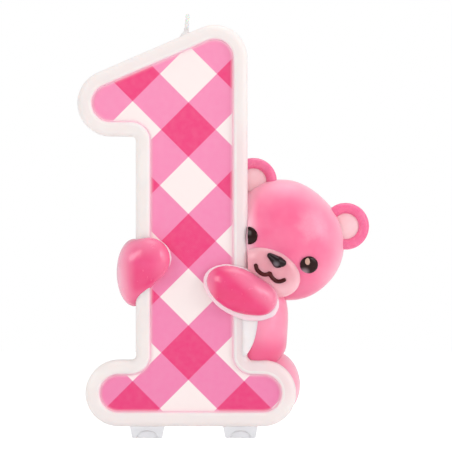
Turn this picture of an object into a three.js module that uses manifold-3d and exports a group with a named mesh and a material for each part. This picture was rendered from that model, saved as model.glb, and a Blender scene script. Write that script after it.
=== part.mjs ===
// A birthday candle: a printed wax figure one, hugged from its side by a wax bear.
// Millimetres. +Z up, the front faces -Y, and the origin is the middle of the base's underside,
// where the wax sits on the cake.

import * as THREE from 'three';
import { mergeVertices } from 'three/addons/utils/BufferGeometryUtils.js';
import Module from 'manifold-3d';

const wasm = await Module();
wasm.setup();

// Number: its outline in X and Z
const numberHeight = 80.4;
const numberDepth = 11;
const stemWidth = 22.4;
const lobeRadius = 6.65; // the four round ends
const flagReach = 22.9; // from the stem's middle to the flag's far end
const flagUnderside = 58.1;
const baseReachLeft = 21.3;
const baseReachRight = 20.9;
const innerCorner = 1; // hollow corners where the stem meets the flag and the base
const edgeRadius = 1.4; // rounding of the front and back edges

// Recessed panel and its print
const rimWidth = 3.1;
const recessDepth = 1.5;
const panelThickness = 0.6;
const panelClearance = 0.1;
const panelSeatGap = 0.02;

// White web that fills the corner between the stem and the bear
const webReach = 2.7;
const webFoot = 14.6;
const webShoulder = 22;
const webTop = 26;
const webDepth = 4;

// Wick and the channel it runs in
const wickRadius = 0.43;
const wickX = -1.1;
const wickExposed = 4.05; // length that stands out of the wax
const wickTipLean = 0.35;
const wickFootHeight = 8;
const wickClearance = 0.25;
const meniscusRadius = 1;
const meniscusHeight = 0.9;

// Pick feet and their sockets
const footSpacing = 18.7;
const footOffset = 0.4; // how far the pair stands off the stem's middle
const footTopWidth = 7;
const footBottomWidth = 6;
const footHeight = 2.4;
const footDepth = 4.2;
const archWidth = 4.2;
const archHeight = 1.5;
const archDepth = 1.3;
const tabWidth = 4.4;
const tabDepth = 1.8;
const tabLength = 10;
const socketClearance = 0.25;
const seatGap = 0.05; // between a foot's shoulder and the wax

// Bear: one gap between pieces that lean on each other
const bondGap = 0.3;
const headTilt = THREE.MathUtils.degToRad(26);
const headReach = 7.3; // the head's centre past the stem's side
const headSetback = 1.6;
const headHeight = 37;
const headRadii = new THREE.Vector3(12.2, 8.4, 11.6);
const eyeLineHeight = -2; // the eyes' line below the head's centre, along the tilted head
const eyeSpacing = 13.1;
const eyeRadius = 1.7;
const eyeThickness = 0.55;
const glintRadius = 0.6;
const glintOffset = new THREE.Vector2(-0.1, 0.8);
const earSpreadRight = 9.8;
const earSpreadLeft = 10.8;
const earRise = 8.2;
const earRadius = 4.75;
const earThickness = 2.5;
const liningRadius = 2.65;
const liningDepth = 1.1;
const liningClearance = 0.15;
const muzzleDrop = -6.8; // below the head's centre
const muzzleRadii = new THREE.Vector3(6.3, 2.6, 4.6);
const noseRise = 2.3; // the nose's middle above the muzzle's
const noseHalfWidth = 2.1;
const noseHeight = 1.9;
const noseCorner = 0.6;
const noseThickness = 1;
const noseProud = 0.45;
const mouthRise = 0.1;
const mouthHalfWidth = 3.2;
const mouthDip = 1.1;
const mouthStroke = 0.6;
const paintGap = 0.1; // round the small pieces of the face

const { PI } = Math;
const stemHalf = stemWidth / 2;
const front = -numberDepth / 2;
const back = numberDepth / 2;
const headCentre = new THREE.Vector3(stemHalf + headReach, headSetback, headHeight);

// ---- materials ----

function wax(name, colour, roughness) {
  return new THREE.MeshStandardMaterial({ name, color: colour, roughness, metalness: 0 });
}

const whiteWax = wax('white wax', 0xf5eeea, 0.45);
const printedWax = wax('gingham print', 0xf295bb, 0.5);
const waxedCotton = wax('waxed cotton', 0xf2f1ee, 0.8);
const clearPlastic = wax('clear plastic', 0xedecec, 0.15);
const pinkWax = wax('pink wax', 0xf57ba3, 0.4);
const deepPinkWax = wax('deep pink wax', 0xee5c93, 0.4);
const paleWax = wax('pale pink wax', 0xe69fac, 0.45);
const darkPaint = wax('dark paint', 0x3c1a18, 0.25);
const glintPaint = wax('peach paint', 0xbb8f7f, 0.35);

// ---- solids ----

function toSolid(geometry) {
  const bare = geometry.clone();
  bare.deleteAttribute('normal');
  bare.deleteAttribute('uv');
  const merged = mergeVertices(bare, 1e-4);
  const mesh = new wasm.Mesh({
    numProp: 3,
    vertProperties: new Float32Array(merged.attributes.position.array),
    triVerts: new Uint32Array(merged.index.array),
  });
  return new wasm.Manifold(mesh);
}

function toGeometry(solid) {
  const mesh = solid.getMesh();
  const geometry = new THREE.BufferGeometry();
  geometry.setAttribute('position', new THREE.BufferAttribute(new Float32Array(mesh.vertProperties), 3));
  geometry.setIndex(new THREE.BufferAttribute(new Uint32Array(mesh.triVerts), 1));
  geometry.computeVertexNormals();
  return geometry;
}

function piece(name, solid, material) {
  const mesh = new THREE.Mesh(toGeometry(solid), material);
  mesh.name = name;
  return mesh;
}

function cut(solid, ...tools) {
  return tools.reduce((rest, tool) => rest.subtract(tool), solid);
}

// An outline drawn in X and Z becomes a slab between two places in Y.
function slab(shape, yFront, yBack, bevel = 0) {
  const geometry = new THREE.ExtrudeGeometry(shape, {
    depth: yBack - yFront - 2 * bevel,
    curveSegments: 7,
    bevelEnabled: bevel > 0,
    bevelThickness: bevel,
    bevelSize: bevel,
    bevelSegments: 2,
  });
  geometry.rotateX(PI / 2);
  geometry.translate(0, yBack - bevel, 0);
  return geometry;
}

function block(width, depth, height, x, y, z) {
  return new THREE.BoxGeometry(width, depth, height).translate(x, y, z);
}

// A wax lump: where it is, its half sizes, its turn about Y, and how much it is grown.
function lump({ at, radii, turn = 0, detail = 18 }, grow = 0) {
  const geometry = new THREE.SphereGeometry(1, detail, Math.round(detail * 0.65));
  geometry.rotateX(PI / 2);
  geometry.scale(radii[0] + grow, radii[1] + grow, radii[2] + grow);
  geometry.rotateY(turn);
  geometry.translate(...at);
  return toSolid(geometry);
}

function lumps(list, grow = 0) {
  return list.map((item) => lump(item, grow)).reduce((sum, solid) => sum.add(solid));
}

// ---- number ----

const topLobe = new THREE.Vector2(stemHalf - lobeRadius, numberHeight - lobeRadius);
const flagLobe = new THREE.Vector2(lobeRadius - flagReach, flagUnderside + lobeRadius);
const baseLobeLeft = new THREE.Vector2(lobeRadius - baseReachLeft, lobeRadius);
const baseLobeRight = new THREE.Vector2(baseReachRight - lobeRadius, lobeRadius);
const slant = topLobe.clone().sub(flagLobe).angle();

// The outline moved inwards by inset, or outwards where inset is negative.
function numberShape(inset) {
  const radius = lobeRadius - inset;
  const half = stemHalf - inset;
  const corner = innerCorner + inset;
  const baseTop = 2 * lobeRadius - inset;
  const shape = new THREE.Shape();
  shape.moveTo(baseLobeLeft.x, inset);
  shape.lineTo(baseLobeRight.x, inset);
  shape.absarc(baseLobeRight.x, baseLobeRight.y, radius, -PI / 2, PI / 2);
  if (corner > 0) {
    shape.absarc(half + corner, baseTop + corner, corner, -PI / 2, -PI, true);
  } else {
    shape.lineTo(half, baseTop);
  }
  shape.lineTo(half, topLobe.y);
  shape.absarc(topLobe.x, topLobe.y, radius, 0, slant + PI / 2);
  shape.absarc(flagLobe.x, flagLobe.y, radius, slant + PI / 2, 1.5 * PI);
  if (corner > 0) {
    shape.absarc(-half - corner, flagUnderside + inset - corner, corner, PI / 2, 0, true);
    shape.absarc(-half - corner, baseTop + corner, corner, 0, -PI / 2, true);
  } else {
    shape.lineTo(-half, flagUnderside + inset);
    shape.lineTo(-half, baseTop);
  }
  shape.absarc(baseLobeLeft.x, baseLobeLeft.y, radius, PI / 2, 1.5 * PI);
  return shape;
}

function webShape(grow) {
  const shape = new THREE.Shape();
  shape.moveTo(stemHalf - 1, webFoot - 1 - grow);
  shape.lineTo(stemHalf + 0.2 + grow, webFoot - 1 - grow);
  shape.quadraticCurveTo(stemHalf + webReach + grow, webFoot + 2, stemHalf + webReach + grow, webShoulder);
  shape.lineTo(stemHalf + webReach + grow, webTop + grow);
  shape.lineTo(stemHalf - 1, webTop + grow);
  return shape;
}

// What the bear's pieces are cut by: the number and its web, grown by the gap.
const numberClearance = toSolid(slab(numberShape(-bondGap), front - bondGap, back + bondGap))
  .add(toSolid(slab(webShape(bondGap), front - 1, front + webDepth + bondGap)));

function slantHeight(x) {
  const rise = Math.tan(slant);
  return topLobe.y + lobeRadius / Math.cos(slant) + (x - topLobe.x) * rise;
}

function footX(side) {
  return footOffset + (side * footSpacing) / 2;
}

function numberBody() {
  const blank = toSolid(slab(numberShape(edgeRadius), front, back, edgeRadius));
  const web = toSolid(slab(webShape(0), front + 0.15, front + webDepth));
  const recess = toSolid(slab(numberShape(rimWidth), front - 1, front + recessDepth));
  const exit = slantHeight(wickX);
  const meniscus = toSolid(new THREE.LatheGeometry([
    new THREE.Vector2(0, -meniscusRadius),
    new THREE.Vector2(meniscusRadius, -meniscusRadius / 2),
    new THREE.Vector2(wickRadius + wickClearance + 0.15, meniscusHeight),
    new THREE.Vector2(0, meniscusHeight),
  ], 16).rotateX(PI / 2).translate(wickX, 0, exit));
  const channelTop = numberHeight + 4;
  const channelFoot = wickFootHeight - wickClearance;
  const channel = toSolid(new THREE.CylinderGeometry(
    wickRadius + wickClearance,
    wickRadius + wickClearance,
    channelTop - channelFoot,
    12,
  ).rotateX(PI / 2).translate(wickX, 0, (channelTop + channelFoot) / 2));
  const sockets = [-1, 1].map((side) => toSolid(block(
    tabWidth + 2 * socketClearance,
    tabDepth + 2 * socketClearance,
    tabLength + 2 * socketClearance + 2,
    footX(side),
    0,
    tabLength / 2 - 1,
  )));
  return cut(blank.add(web).add(meniscus), recess, channel, ...sockets);
}

function ginghamPanel() {
  const recessFloor = front + recessDepth;
  const outline = numberShape(rimWidth + panelClearance);
  return toSolid(slab(outline, recessFloor - panelThickness, recessFloor - panelSeatGap));
}

function wick() {
  const exit = slantHeight(wickX);
  const path = new THREE.CatmullRomCurve3([
    new THREE.Vector3(wickX, 0, wickFootHeight),
    new THREE.Vector3(wickX, 0, exit / 2),
    new THREE.Vector3(wickX, 0, exit - 3),
    new THREE.Vector3(wickX, 0, exit + meniscusHeight),
    new THREE.Vector3(wickX + wickTipLean, 0, exit + wickExposed),
  ]);
  const section = new THREE.Shape().absarc(0, 0, wickRadius, 0, 2 * PI);
  return toSolid(new THREE.ExtrudeGeometry(section, {
    steps: 30,
    curveSegments: 4,
    bevelEnabled: false,
    extrudePath: path,
  }));
}

// ---- pick feet ----

function pickFoot(side) {
  const x = footX(side);
  const top = -seatGap;
  const head = new THREE.Shape();
  head.moveTo(x - footTopWidth / 2, top);
  head.lineTo(x - footBottomWidth / 2, -footHeight);
  head.lineTo(x + footBottomWidth / 2, -footHeight);
  head.lineTo(x + footTopWidth / 2, top);
  const arch = new THREE.Shape();
  arch.moveTo(x - archWidth / 2, -footHeight - 1);
  arch.lineTo(x + archWidth / 2, -footHeight - 1);
  arch.absellipse(x, -footHeight, archWidth / 2, archHeight, 0, PI);
  const half = footDepth / 2;
  const tab = toSolid(block(tabWidth, tabDepth, tabLength + 1, x, 0, top + (tabLength - 1) / 2));
  return cut(
    toSolid(slab(head, -half, half)).add(tab),
    toSolid(slab(arch, -half - 1, -half + archDepth)),
    toSolid(slab(arch, half - archDepth, half + 1)),
  );
}

// ---- bear's head, in its own frame: X across the face, Z up it, origin at the head's centre ----

const headFrame = new THREE.Matrix4()
  .makeRotationY(headTilt)
  .setPosition(headCentre);

function inHeadFrame(geometry) {
  return geometry.clone().applyMatrix4(headFrame.clone().invert());
}

const headNumberClearance = toSolid(inHeadFrame(slab(
  numberShape(-bondGap),
  front - bondGap,
  back + bondGap,
)));

const headLump = { at: [0, 0, 0], radii: headRadii.toArray(), detail: 26 };
const muzzleDepth = frontOfHead(0, muzzleDrop) + 0.9;
const muzzleLump = { at: [0, muzzleDepth, muzzleDrop], radii: muzzleRadii.toArray(), detail: 20 };

// How far in front of the head's centre its surface is, at x across and z up.
function frontOfHead(x, z) {
  const rest = 1 - (x / headRadii.x) ** 2 - (z / headRadii.z) ** 2;
  return -headRadii.y * Math.sqrt(Math.max(rest, 0));
}

function frontOfMuzzle(x, z) {
  const rest = 1 - (x / muzzleRadii.x) ** 2 - ((z - muzzleDrop) / muzzleRadii.z) ** 2;
  return muzzleDepth - muzzleRadii.y * Math.sqrt(Math.max(rest, 0));
}

function ear(side) {
  const spread = side > 0 ? earSpreadRight : -earSpreadLeft;
  return { at: [spread, 0, earRise], radii: [earRadius, earThickness, earRadius], detail: 20 };
}

function lining(side, grow) {
  const { at } = ear(side);
  const radius = liningRadius + grow;
  const depth = liningDepth + grow;
  return lump({ at: [at[0], -earThickness, at[2]], radii: [radius, depth, radius], detail: 14 });
}

function nose(grow) {
  const z = muzzleDrop + noseRise;
  const half = noseHalfWidth + grow;
  const top = z + noseHeight / 2 + grow;
  const tip = z - noseHeight / 2 - grow;
  const shape = new THREE.Shape();
  shape.moveTo(0, tip);
  shape.quadraticCurveTo(half, z, half, top - noseCorner);
  shape.quadraticCurveTo(half, top, half - noseCorner, top);
  shape.lineTo(noseCorner - half, top);
  shape.quadraticCurveTo(-half, top, -half, top - noseCorner);
  shape.quadraticCurveTo(-half, z, 0, tip);
  const yFront = frontOfMuzzle(0, z) - noseProud - grow;
  return toSolid(slab(shape, yFront, yFront + noseThickness + 2 * grow, 0.2));
}

// The mouth is a double curve: two dips that meet below the nose.
function mouth(grow) {
  const dips = [0, 1, 0.95, 0.1, 0.95, 1, 0];
  const shares = [-1, -0.5, -0.22, 0, 0.22, 0.5, 1];
  const points = shares.map((share, index) => {
    const x = share * mouthHalfWidth;
    const z = muzzleDrop + mouthRise - mouthDip * dips[index];
    return new THREE.Vector3(x, frontOfMuzzle(x, z), z);
  });
  const section = new THREE.Shape().absarc(0, 0, mouthStroke / 2 + grow, 0, 2 * PI);
  return toSolid(new THREE.ExtrudeGeometry(section, {
    steps: 18,
    curveSegments: 3,
    bevelEnabled: false,
    extrudePath: new THREE.CatmullRomCurve3(points),
  }));
}

function eyeLump(side) {
  const x = (side * eyeSpacing) / 2;
  const y = frontOfHead(x, eyeLineHeight);
  return { at: [x, y, eyeLineHeight], radii: [eyeRadius, eyeThickness, eyeRadius], detail: 12 };
}

function glintLump(side) {
  const { at } = eyeLump(side);
  const x = at[0] + glintOffset.x;
  const z = at[2] + glintOffset.y;
  return { at: [x, at[1] - eyeThickness, z], radii: [glintRadius, 0.3, glintRadius], detail: 8 };
}

function bearHead() {
  const eyes = [-1, 1].map((side) => lump(eyeLump(side), paintGap));
  const ears = [-1, 1].map((side) => lump(ear(side)));
  const skull = lump(headLump);
  const skullGrown = lump(headLump, bondGap);
  const skullNear = lump(headLump, paintGap);
  const muzzleTools = [skullGrown, headNumberClearance, nose(paintGap), mouth(paintGap)];
  const group = new THREE.Group();
  group.add(piece('bear_head', cut(skull, headNumberClearance, ...eyes), pinkWax));
  group.add(piece('bear_muzzle', cut(lump(muzzleLump), ...muzzleTools), paleWax));
  group.add(piece('bear_nose', cut(nose(0), skullNear), darkPaint));
  group.add(piece('bear_mouth', cut(mouth(0), skullNear), darkPaint));
  [-1, 1].forEach((side, index) => {
    const hand = index === 0 ? 'left' : 'right';
    const pocket = lining(side, liningClearance);
    const blocks = [skullGrown, headNumberClearance];
    group.add(piece(`bear_ear_${hand}`, cut(ears[index], pocket, ...blocks), pinkWax));
    group.add(piece(`ear_lining_${hand}`, cut(lining(side, 0), ...blocks), paleWax));
    const glint = cut(lump(glintLump(side)), headNumberClearance, lump(eyeLump(side), 0.03));
    group.add(piece(`bear_eye_${hand}`, cut(lump(eyeLump(side)), headNumberClearance), darkPaint));
    group.add(piece(`eye_glint_${hand}`, glint, glintPaint));
  });
  group.applyMatrix4(headFrame);
  return group;
}

// ---- bear's body ----

const frontArm = [
  { at: [stemHalf - 2.8, front - 0.6, 27.4], radii: [6.1, 3.3, 4.5], turn: 0.47 },
  { at: [stemHalf + 2.2, front + 0.6, 25.4], radii: [5.1, 3.5, 3.8], turn: 0.47 },
];
const backArm = [
  { at: [2 - stemHalf, front - 0.4, 33.6], radii: [5, 3.1, 4.7] },
  { at: [1.5 - stemHalf, -2, 31.2], radii: [5.1, 5.8, 6.9] },
  { at: [1.3 - stemHalf, 3.4, 30.8], radii: [4.8, 6.4, 6.6] },
  { at: [7.8 - stemHalf, back + 0.9, 29.4], radii: [10, 3.4, 5.8] },
  { at: [stemHalf - 4.2, back + 1.1, 27], radii: [10.4, 3.3, 5.6], turn: 0.25 },
];
const torso = [
  { at: [stemHalf + 3.5, 1.4, 21.4], radii: [4.7, 7.4, 8.2] },
  { at: [stemHalf + 2.6, 1, 16.4], radii: [5.1, 6.8, 4] },
];
const nearLeg = [
  { at: [baseReachRight - 4.3, 3.3, 8.5], radii: [5.2, 6.4, 6.7], turn: -0.1 },
];
const farLeg = [
  { at: [baseReachRight - 12.3, back + 1.5, 7.4], radii: [5, 3.6, 7] },
];

function bearBody() {
  const headGrown = lump({
    at: headCentre.toArray(),
    radii: headRadii.toArray(),
    turn: headTilt,
    detail: 26,
  }, bondGap);
  const muzzleAt = new THREE.Vector3(...muzzleLump.at).applyMatrix4(headFrame);
  const muzzleGrown = lump({ ...muzzleLump, at: muzzleAt.toArray(), turn: headTilt }, bondGap);
  const chin = [headGrown, muzzleGrown];
  const group = new THREE.Group();
  const frontArmSolid = cut(lumps(frontArm), numberClearance, ...chin);
  const torsoSolid = cut(lumps(torso), numberClearance, ...chin, lumps(frontArm, bondGap));
  const nearLegSolid = cut(lumps(nearLeg), numberClearance, lumps(torso, bondGap));
  const backArmTools = [numberClearance, ...chin, lumps(torso, bondGap), lumps(nearLeg, bondGap)];
  const backArmSolid = cut(lumps(backArm), ...backArmTools);
  const farLegTools = [lumps(torso, bondGap), lumps(nearLeg, bondGap), lumps(backArm, bondGap)];
  const farLegSolid = cut(lumps(farLeg), numberClearance, ...farLegTools);
  group.add(piece('bear_arm_front', frontArmSolid, deepPinkWax));
  group.add(piece('bear_torso', torsoSolid, pinkWax));
  group.add(piece('bear_leg_near', nearLegSolid, pinkWax));
  group.add(piece('bear_arm_back', backArmSolid, deepPinkWax));
  group.add(piece('bear_leg_far', farLegSolid, pinkWax));
  return group;
}

// ---- assembly ----

const candle = new THREE.Group();
candle.add(piece('number_body', numberBody(), whiteWax));
candle.add(piece('gingham_panel', ginghamPanel(), printedWax));
candle.add(piece('wick', wick(), waxedCotton));
candle.add(piece('pick_foot_left', pickFoot(-1), clearPlastic));
candle.add(piece('pick_foot_right', pickFoot(1), clearPlastic));
candle.add(bearBody());
candle.add(bearHead());

export default candle;
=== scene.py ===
import math

import bpy
from mathutils import Matrix, Vector


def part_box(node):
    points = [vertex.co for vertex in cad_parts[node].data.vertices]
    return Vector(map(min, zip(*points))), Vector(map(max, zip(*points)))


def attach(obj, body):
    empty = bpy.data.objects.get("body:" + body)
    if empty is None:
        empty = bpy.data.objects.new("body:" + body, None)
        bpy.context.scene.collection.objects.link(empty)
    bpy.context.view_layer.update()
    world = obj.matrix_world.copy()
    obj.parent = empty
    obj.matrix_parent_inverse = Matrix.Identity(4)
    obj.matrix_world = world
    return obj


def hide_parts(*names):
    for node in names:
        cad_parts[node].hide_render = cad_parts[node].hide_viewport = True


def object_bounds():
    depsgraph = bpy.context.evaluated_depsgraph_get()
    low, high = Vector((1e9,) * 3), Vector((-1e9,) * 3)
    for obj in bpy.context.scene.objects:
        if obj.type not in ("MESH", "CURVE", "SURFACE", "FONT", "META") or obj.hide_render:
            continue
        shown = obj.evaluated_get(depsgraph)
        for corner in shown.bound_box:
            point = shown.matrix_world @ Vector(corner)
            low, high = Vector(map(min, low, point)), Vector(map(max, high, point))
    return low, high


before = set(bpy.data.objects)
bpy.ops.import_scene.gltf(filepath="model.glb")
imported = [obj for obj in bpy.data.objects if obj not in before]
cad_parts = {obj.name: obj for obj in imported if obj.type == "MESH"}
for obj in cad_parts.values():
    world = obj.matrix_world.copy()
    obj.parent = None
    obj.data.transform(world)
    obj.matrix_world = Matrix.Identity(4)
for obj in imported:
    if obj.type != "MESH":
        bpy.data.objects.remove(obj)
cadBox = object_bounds()

mm = 0.001
numberLow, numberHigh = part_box("number_body")
panelLow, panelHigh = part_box("gingham_panel")
frontFace = numberLow.y
backFace = numberHigh.y
numberMaker = {
    "lobe": 6.65 * mm,
    "stemHalf": 11.2 * mm,
    "flagUnderside": 58.1 * mm,
    "baseStep": 1.6 * mm,
    "baseRight": 20.9 * mm,
    "corner": 1.0 * mm,
    "arcSteps": 36,
}


def clearSelection():
    if bpy.context.mode != "OBJECT":
        bpy.ops.object.mode_set(mode="OBJECT")
    bpy.ops.object.select_all(action="DESELECT")


def pick(*pieces):
    clearSelection()
    for piece in pieces:
        piece.select_set(True)
    bpy.context.view_layer.objects.active = pieces[0]
    return pieces[0]


def settle(piece):
    pick(piece)
    bpy.ops.object.transform_apply(location=True, rotation=True, scale=True)
    return piece


def applyModifiers(piece):
    pick(piece)
    for modifier in list(piece.modifiers):
        bpy.ops.object.modifier_apply(modifier=modifier.name)
    return piece


def joinAll(pieces, name):
    pick(*pieces)
    if len(pieces) > 1:
        bpy.ops.object.join()
    joined = bpy.context.object
    joined.name = name
    joined.data.name = name
    return joined


def openEdit(piece):
    pick(piece)
    bpy.ops.object.mode_set(mode="EDIT")
    bpy.ops.mesh.select_all(action="DESELECT")


def closeEdit():
    bpy.ops.object.mode_set(mode="OBJECT")


def selectFaces(piece, test):
    # test sees each face in object mode, then edit mode picks the choice up
    bpy.ops.object.mode_set(mode="EDIT")
    bpy.ops.mesh.select_mode(type="FACE")
    bpy.ops.mesh.select_all(action="DESELECT")
    bpy.ops.object.mode_set(mode="OBJECT")
    for face in piece.data.polygons:
        face.select = test(face)
    bpy.ops.object.mode_set(mode="EDIT")


def selectPoints(piece, test):
    bpy.ops.object.mode_set(mode="EDIT")
    bpy.ops.mesh.select_mode(type="VERT")
    bpy.ops.mesh.select_all(action="DESELECT")
    bpy.ops.object.mode_set(mode="OBJECT")
    for point in piece.data.vertices:
        point.select = test(point.co)
    bpy.ops.object.mode_set(mode="EDIT")


def recalculateNormals(piece):
    openEdit(piece)
    bpy.ops.mesh.select_all(action="SELECT")
    bpy.ops.mesh.remove_doubles(threshold=0.002 * mm)
    bpy.ops.mesh.normals_make_consistent(inside=False)
    closeEdit()
    return piece


def smoothShade(piece, angle=None):
    pick(piece)
    if angle is None:
        bpy.ops.object.shade_smooth()
    else:
        bpy.ops.object.shade_smooth_by_angle(angle=math.radians(angle))
    return piece


def finishPiece(piece, body, material, slot, *nodes):
    piece.data.materials.clear()
    piece.data.materials.append(material)
    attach(piece, body)
    if nodes:
        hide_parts(*nodes)
    return piece


# the pen walks an outline in X and Z: lines by extruding its point, arcs by spinning it
def startOutline(name, x, y, z):
    clearSelection()
    bpy.ops.mesh.primitive_plane_add(size=mm, location=(x, y, z))
    piece = bpy.context.object
    piece.name = name
    settle(piece)
    bpy.ops.object.mode_set(mode="EDIT")
    bpy.ops.mesh.select_mode(type="VERT")
    bpy.ops.mesh.select_all(action="SELECT")
    bpy.ops.mesh.merge(type="CENTER")
    return piece


def penAt(piece):
    piece.update_from_editmode()
    return [point.co.copy() for point in piece.data.vertices if point.select][-1]


def lineTo(piece, x, z):
    here = penAt(piece)
    step = (x - here.x, 0, z - here.z)
    bpy.ops.mesh.extrude_region_move(TRANSFORM_OT_translate={"value": step})


def arcRound(piece, x, z, degrees, steps):
    # positive turns anticlockwise as seen from the front
    here = penAt(piece)
    bpy.ops.mesh.spin(steps=steps, angle=math.radians(degrees), center=(x, here.y, z), axis=(0, 1, 0))


def closeOutline(piece):
    bpy.ops.mesh.select_all(action="SELECT")
    bpy.ops.mesh.remove_doubles(threshold=0.01 * mm)
    bpy.ops.mesh.select_all(action="SELECT")
    bpy.ops.mesh.edge_face_add()


def drawNumber(name, y, inset=0.0):
    lobe = numberMaker["lobe"] - inset
    half = numberMaker["stemHalf"] - inset
    corner = numberMaker["corner"] + inset
    steps = numberMaker["arcSteps"]
    topX = numberMaker["stemHalf"] - numberMaker["lobe"]
    topZ = numberHigh.z - numberMaker["lobe"]
    flagX = numberLow.x + numberMaker["lobe"]
    flagZ = numberMaker["flagUnderside"] + numberMaker["lobe"]
    baseLeft = numberLow.x + numberMaker["baseStep"] + numberMaker["lobe"]
    baseRight = numberMaker["baseRight"] - numberMaker["lobe"]
    baseZ = numberMaker["lobe"]
    slant = math.degrees(math.atan2(topZ - flagZ, topX - flagX))
    outline = startOutline(name, baseLeft, y, baseZ - lobe)
    lineTo(outline, baseRight, baseZ - lobe)
    arcRound(outline, baseRight, baseZ, 180, steps)
    lineTo(outline, half + corner, baseZ + lobe)
    arcRound(outline, half + corner, baseZ + lobe + corner, -90, steps // 3)
    lineTo(outline, half, topZ)
    arcRound(outline, topX, topZ, 90 + slant, steps)
    turned = math.radians(90 + slant)
    lineTo(outline, flagX + lobe * math.cos(turned), flagZ + lobe * math.sin(turned))
    arcRound(outline, flagX, flagZ, 180 - slant, steps)
    lineTo(outline, -half - corner, flagZ - lobe)
    arcRound(outline, -half - corner, flagZ - lobe - corner, -90, steps // 3)
    lineTo(outline, -half, baseZ + lobe + corner)
    arcRound(outline, -half - corner, baseZ + lobe + corner, -90, steps // 3)
    lineTo(outline, baseLeft, baseZ + lobe)
    arcRound(outline, baseLeft, baseZ, 180, steps)
    closeOutline(outline)
    return outline


def insetSteps(steps):
    for thickness, depth in steps:
        bpy.ops.mesh.inset(thickness=thickness, depth=depth, use_even_offset=True)


def outwardRound(radius, count):
    # from a wall round onto the face
    angles = [math.pi / 2 * i / count for i in range(count + 1)]
    return [
        (radius * (math.cos(a) - math.cos(b)), radius * (math.sin(b) - math.sin(a)))
        for a, b in zip(angles, angles[1:])
    ]


def inwardRound(radius, count):
    # from the face round into a wall
    angles = [math.pi / 2 * i / count for i in range(count + 1)]
    return [
        (radius * (math.sin(b) - math.sin(a)), -radius * (math.cos(a) - math.cos(b)))
        for a, b in zip(angles, angles[1:])
    ]


rim = {
    "outerRound": 1.35 * mm,
    "innerRound": 0.75 * mm,
    "crown": 0.85 * mm,
    "crownRise": 0.03 * mm,
    "wall": 0.16 * mm,
    "depth": 1.25 * mm,
    "support": 0.03 * mm,
}


def makeNumberBody():
    radius = rim["outerRound"]
    body = drawNumber("number_wax", frontFace + radius)
    body.data.materials.append(whiteWax)
    body.data.materials.append(glowWax)
    thickness = backFace - frontFace - 2 * radius
    bpy.ops.mesh.extrude_region_move(TRANSFORM_OT_translate={"value": (0, thickness, 0)})
    closeEdit()
    recalculateNormals(body)
    selectFaces(body, lambda face: face.normal.y > 0.9)
    insetSteps(outwardRound(radius, 6))
    insetSteps([(rim["support"], 0), (rim["support"], 0)])
    closeEdit()
    selectFaces(body, lambda face: face.normal.y < -0.9 and face.area > 100 * mm * mm)
    insetSteps(outwardRound(radius, 6))
    insetSteps([(rim["crown"] / 2, rim["crownRise"]), (rim["crown"] / 2, -rim["crownRise"])])
    body.active_material_index = 1  # from here inwards the wax takes painted pink light, the print's glow scattered into the recess wall
    bpy.ops.object.material_slot_assign()
    insetSteps(inwardRound(rim["innerRound"], 5))
    insetSteps([(rim["wall"], -(rim["depth"] - rim["innerRound"]))])
    insetSteps([(rim["support"], 0)])
    closeEdit()
    return smoothShade(body, 40)


def paint(red, green, blue):
    # screen values become the linear ones that sockets take
    shares = [value / 255 for value in (red, green, blue)]
    linear = [s / 12.92 if s <= 0.04045 else ((s + 0.055) / 1.055) ** 2.4 for s in shares]
    return (*linear, 1.0)


def addNode(tree, kind, **settings):
    node = tree.nodes.new(kind)
    for key, value in settings.items():
        setattr(node, key, value)
    return node


def mathNode(tree, operation, first, second=None):
    node = addNode(tree, "ShaderNodeMath", operation=operation)
    for index, value in enumerate((first, second)):
        if value is None:
            continue
        if isinstance(value, (int, float)):
            node.inputs[index].default_value = value
        else:
            tree.links.new(value, node.inputs[index])
    return node.outputs[0]


def mapRange(tree, value, fromLow, fromHigh, toLow=0.0, toHigh=1.0, smooth=False):
    node = addNode(tree, "ShaderNodeMapRange")
    node.interpolation_type = "SMOOTHSTEP" if smooth else "LINEAR"
    tree.links.new(value, node.inputs["Value"])
    node.inputs["From Min"].default_value = fromLow
    node.inputs["From Max"].default_value = fromHigh
    node.inputs["To Min"].default_value = toLow
    node.inputs["To Max"].default_value = toHigh
    return node.outputs["Result"]


def mixColour(tree, share, first, second):
    node = addNode(tree, "ShaderNodeMix", data_type="RGBA")
    for socket, value in ((node.inputs[0], share), (node.inputs[6], first), (node.inputs[7], second)):
        if isinstance(value, (int, float, tuple)):
            socket.default_value = value
        else:
            tree.links.new(value, socket)
    return node.outputs[2]


def noiseNode(tree, vector, scale, detail=3.0, roughness=0.5):
    node = addNode(tree, "ShaderNodeTexNoise")
    tree.links.new(vector, node.inputs["Vector"])
    if isinstance(scale, (int, float)):
        node.inputs["Scale"].default_value = scale
    else:
        tree.links.new(scale, node.inputs["Scale"])
    node.inputs["Detail"].default_value = detail
    node.inputs["Roughness"].default_value = roughness
    return node.outputs["Fac"]


def newGroup(name, inputs, outputs):
    tree = bpy.data.node_groups.new(name, "ShaderNodeTree")
    for label, value in inputs:
        socket = tree.interface.new_socket(label, in_out="INPUT", socket_type="NodeSocketFloat")
        socket.default_value = value
    for label in outputs:
        tree.interface.new_socket(label, in_out="OUTPUT", socket_type="NodeSocketFloat")
    return tree, addNode(tree, "NodeGroupInput"), addNode(tree, "NodeGroupOutput")


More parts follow.
